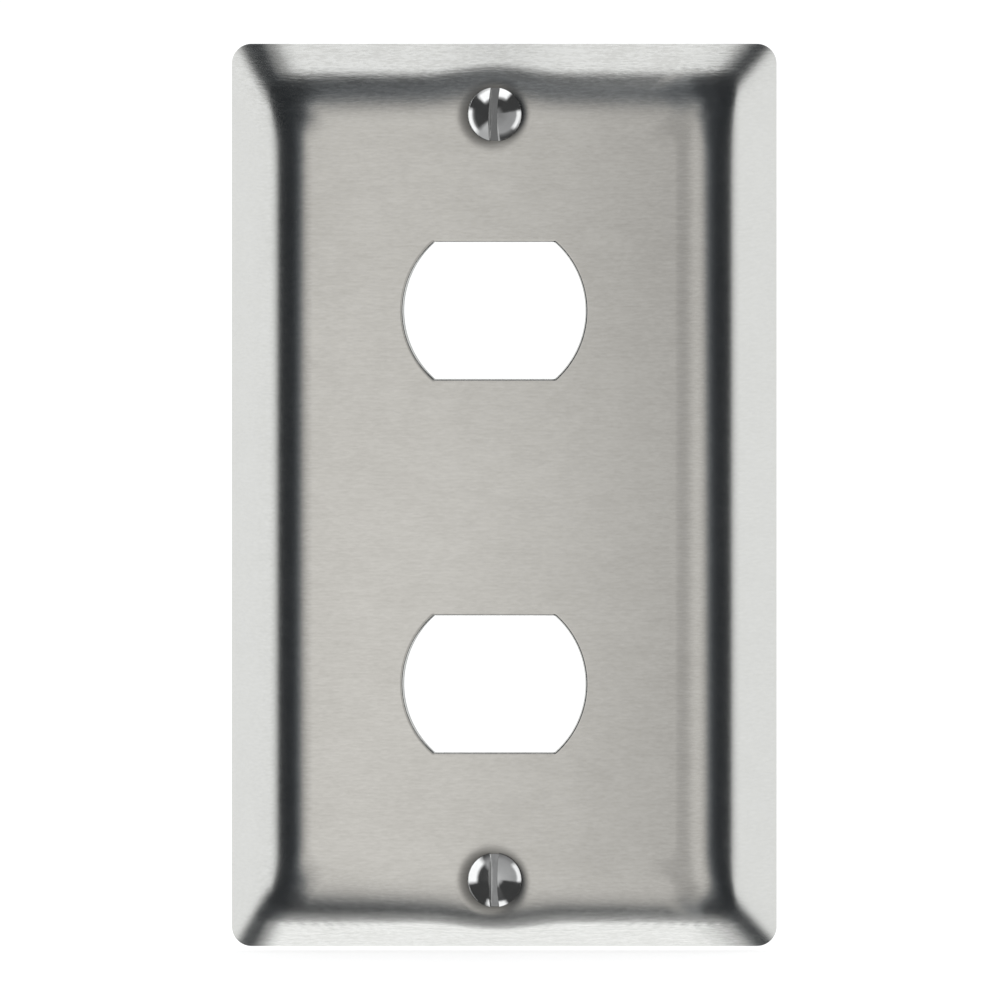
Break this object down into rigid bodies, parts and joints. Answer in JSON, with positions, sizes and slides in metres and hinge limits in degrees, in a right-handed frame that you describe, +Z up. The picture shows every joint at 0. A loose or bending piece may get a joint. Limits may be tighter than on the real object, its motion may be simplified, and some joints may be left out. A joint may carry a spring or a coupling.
{
  "type": "wall plate",
  "caption": "Brushed stainless wall plate with rolled border, truncated-round device openings and captive slotted oval-head screws; covers a flush wiring box.",
  "frame": {"origin": "middle of the plate's outline on the wall plane, which is also halfway between the two screw axes", "axes": "+X to the right seen from the front, +Z up, the front face looks along -Y and the wall is at y = 0"},
  "size_m": [0.069, 0.0139, 0.1142],
  "materials": {
    "brushed_stainless": "fine horizontal brushed grain, satin, slightly warm grey",
    "polished_steel": "bright polished head, plain bright thread",
    "red_fibre": "dull vulcanised fibre"
  },
  "bodies": {
    "plate": {"wall_plate": "brushed_stainless"},
    "upper_retainer": {"upper_retaining_washer": "red_fibre"},
    "upper_screw": {"upper_screw": "polished_steel"},
    "lower_retainer": {"lower_retaining_washer": "red_fibre"},
    "lower_screw": {"lower_screw": "polished_steel"}
  },
  "joints": [
    {"name": "upper_screw_back_out", "type": "slide", "parent": "plate", "child": "upper_retainer", "axis": [0, -1, 0], "range_m": [0, 0.00238]},
    {"name": "upper_screw_turn", "type": "hinge", "parent": "upper_retainer", "child": "upper_screw", "pos_m": [0, 0, 0.04842], "axis": [0, 1, 0], "continuous": true},
    {"name": "lower_screw_back_out", "type": "slide", "parent": "plate", "child": "lower_retainer", "axis": [0, -1, 0], "range_m": [0, 0.00238]},
    {"name": "lower_screw_turn", "type": "hinge", "parent": "lower_retainer", "child": "lower_screw", "pos_m": [0, 0, -0.04842], "axis": [0, 1, 0], "continuous": true}
  ]
}
